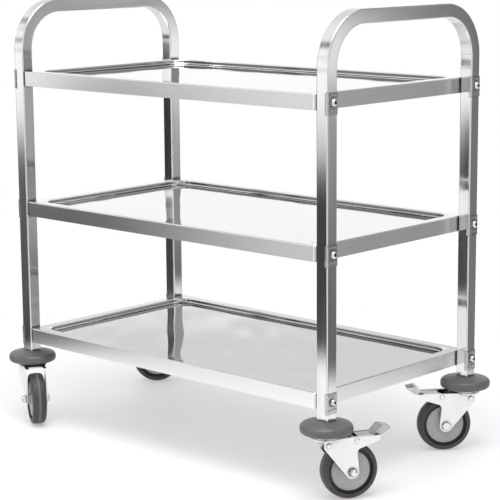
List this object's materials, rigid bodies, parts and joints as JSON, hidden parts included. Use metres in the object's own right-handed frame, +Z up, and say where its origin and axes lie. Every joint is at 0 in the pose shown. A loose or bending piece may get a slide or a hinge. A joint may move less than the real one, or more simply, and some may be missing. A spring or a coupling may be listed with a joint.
{
  "type": "service trolley",
  "caption": "Service trolley with three pressed trays between two bent square-tube end frames with push handles, round bumpers and swivel castors, some with a foot brake.",
  "frame": {"origin": "on the floor, midway between the four legs", "axes": "+X from the left end frame to the right end frame, +Y from the front to the back, +Z up"},
  "size_m": [0.8989, 0.5024, 0.828],
  "materials": {
    "frame_steel": "polished stainless steel tube",
    "tray_steel": "polished stainless steel sheet",
    "clip_steel": "pressed stainless steel",
    "bolt_steel": "bright steel",
    "plate_steel": "plain steel plate",
    "zinc": "bright zinc-plated steel",
    "pedal_steel": "satin zinc-plated steel",
    "spring_steel": "dark spring steel",
    "bumper_grey": "grey moulded rubber, satin",
    "socket_plastic": "black moulded plastic",
    "seal_black": "black rubber",
    "tyre_grey": "dark grey thermoplastic rubber",
    "core_grey": "light grey moulded plastic"
  },
  "bodies": {
    "frame": {"left_frame": "frame_steel", "right_frame": "frame_steel", "top_shelf": "tray_steel", "top_shelf_corner_plates": "plate_steel", "middle_shelf": "tray_steel", "middle_shelf_corner_plates": "plate_steel", "bottom_shelf": "tray_steel", "bottom_shelf_corner_plates": "plate_steel", "left_leg_clips": "clip_steel", "left_shelf_bolts": "bolt_steel", "right_leg_clips": "clip_steel", "right_shelf_bolts": "bolt_steel", "shelf_nuts": "bolt_steel", "leg_sockets": "socket_plastic", "swivel_seals": "seal_black", "dust_rings": "seal_black", "swivel_balls": "bolt_steel", "right_front_bumper": "bumper_grey", "right_front_kingpin": "zinc", "right_back_bumper": "bumper_grey", "right_back_kingpin": "zinc", "left_front_bumper": "bumper_grey", "left_front_kingpin": "zinc", "left_back_bumper": "bumper_grey", "left_back_kingpin": "zinc"},
    "fork_right_front": {"right_front_fork": "zinc", "right_front_axle_bolt": "bolt_steel", "right_front_axle_nut": "bolt_steel", "right_front_bush": "bolt_steel", "right_front_brake_rivets": "bolt_steel", "right_front_brake_leaf": "spring_steel"},
    "wheel_right_front": {"right_front_wheel_core": "core_grey", "right_front_tyre": "tyre_grey"},
    "pedal_right_front": {"right_front_brake_pedal": "pedal_steel"},
    "fork_right_back": {"right_back_fork": "zinc", "right_back_axle_bolt": "bolt_steel", "right_back_axle_nut": "bolt_steel", "right_back_bush": "bolt_steel", "right_back_brake_rivets": "bolt_steel", "right_back_brake_leaf": "spring_steel"},
    "wheel_right_back": {"right_back_wheel_core": "core_grey", "right_back_tyre": "tyre_grey"},
    "pedal_right_back": {"right_back_brake_pedal": "pedal_steel"},
    "fork_left_front": {"left_front_fork": "zinc", "left_front_axle_bolt": "bolt_steel", "left_front_axle_nut": "bolt_steel", "left_front_bush": "bolt_steel"},
    "wheel_left_front": {"left_front_wheel_core": "core_grey", "left_front_tyre": "tyre_grey"},
    "fork_left_back": {"left_back_fork": "zinc", "left_back_axle_bolt": "bolt_steel", "left_back_axle_nut": "bolt_steel", "left_back_bush": "bolt_steel"},
    "wheel_left_back": {"left_back_wheel_core": "core_grey", "left_back_tyre": "tyre_grey"}
  },
  "joints": [
    {"name": "swivel_right_front", "type": "hinge", "parent": "frame", "child": "fork_right_front", "pos_m": [0.3825, -0.1995, 0.111], "axis": [0, 0, 1], "continuous": true},
    {"name": "roll_right_front", "type": "hinge", "parent": "fork_right_front", "child": "wheel_right_front", "pos_m": [0.4025, -0.16486, 0.05], "axis": [-0.866, 0.5, 0], "continuous": true},
    {"name": "brake_right_front", "type": "hinge", "parent": "fork_right_front", "child": "pedal_right_front", "pos_m": [0.4065, -0.15793, 0.1045], "axis": [-0.866, 0.5, 0], "range_deg": [0, 13]},
    {"name": "swivel_right_back", "type": "hinge", "parent": "frame", "child": "fork_right_back", "pos_m": [0.3825, 0.1995, 0.111], "axis": [0, 0, 1], "continuous": true},
    {"name": "roll_right_back", "type": "hinge", "parent": "fork_right_back", "child": "wheel_right_back", "pos_m": [0.35679, 0.16886, 0.05], "axis": [0.766, -0.6428, 0], "continuous": true},
    {"name": "brake_right_back", "type": "hinge", "parent": "fork_right_back", "child": "pedal_right_back", "pos_m": [0.35165, 0.16273, 0.1045], "axis": [0.766, -0.6428, 0], "range_deg": [0, 13]},
    {"name": "swivel_left_front", "type": "hinge", "parent": "frame", "child": "fork_left_front", "pos_m": [-0.3825, -0.1995, 0.111], "axis": [0, 0, 1], "continuous": true},
    {"name": "roll_left_front", "type": "hinge", "parent": "fork_left_front", "child": "wheel_left_front", "pos_m": [-0.34858, -0.2207, 0.05], "axis": [0.5299, 0.848, 0], "continuous": true},
    {"name": "swivel_left_back", "type": "hinge", "parent": "frame", "child": "fork_left_back", "pos_m": [-0.3825, 0.1995, 0.111], "axis": [0, 0, 1], "continuous": true},
    {"name": "roll_left_back", "type": "hinge", "parent": "fork_left_back", "child": "wheel_left_back", "pos_m": [-0.40821, 0.16886, 0.05], "axis": [0.766, -0.6428, 0], "continuous": true}
  ]
}
